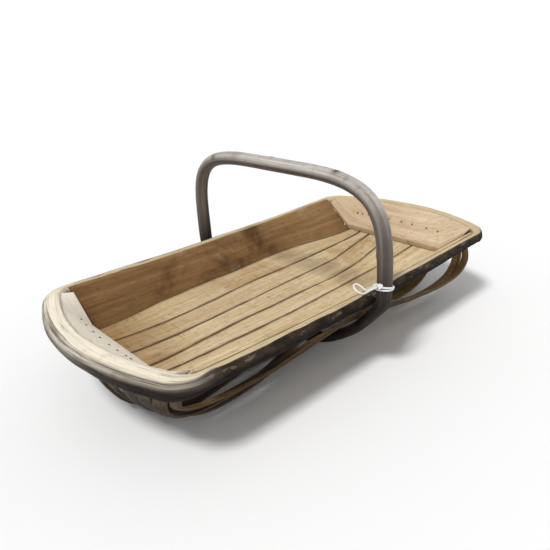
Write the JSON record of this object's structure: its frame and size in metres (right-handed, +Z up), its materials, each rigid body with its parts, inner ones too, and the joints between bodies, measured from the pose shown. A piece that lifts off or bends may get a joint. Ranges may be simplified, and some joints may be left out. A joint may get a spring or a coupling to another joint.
{
  "type": "garden trug",
  "caption": "Long shallow plank tray in a bent bark-on rim, slung in thin bent laths and one fixed bentwood handle hoop that passes over the tray and under it",
  "frame": {"origin": "on the ground under the middle of the handle hoop, where the hoop's flat foot rests", "axes": "+X along the tray's length, +Y across it towards the far side, +Z up"},
  "size_m": [0.602, 0.3649, 0.2458],
  "materials": {
    "bark": "bark-on, weathered",
    "pole": "smooth, weathered grey-brown",
    "boards": "sawn, unfinished",
    "end_boards": "weathered pale",
    "laths": "riven, half bark-on",
    "nails": "dark, dull",
    "string": "white twisted"
  },
  "bodies": {
    "root": {"rim_hoop": "bark", "handle_hoop": "pole", "floor_board_1": "boards", "floor_board_2": "boards", "floor_board_3": "boards", "floor_board_4": "boards", "floor_board_5": "boards", "side_board_near": "boards", "side_board_far": "boards", "end_board_left": "end_boards", "end_board_right": "end_boards", "lath_1": "laths", "lath_2": "laths", "lath_3": "laths", "lath_4": "laths", "lath_5": "laths", "lath_6": "laths", "lath_7": "laths", "lath_8": "laths", "lath_9": "laths", "lath_10": "laths", "lath_11": "laths", "end_board_nails_left": "nails", "end_board_nails_right": "nails", "side_board_nails": "nails", "lath_nails_left": "nails", "lath_nails_right": "nails", "hoop_nails": "nails", "handle_nails": "nails", "string_tie": "string", "string_loop": "string"}
  },
  "joints": []
}
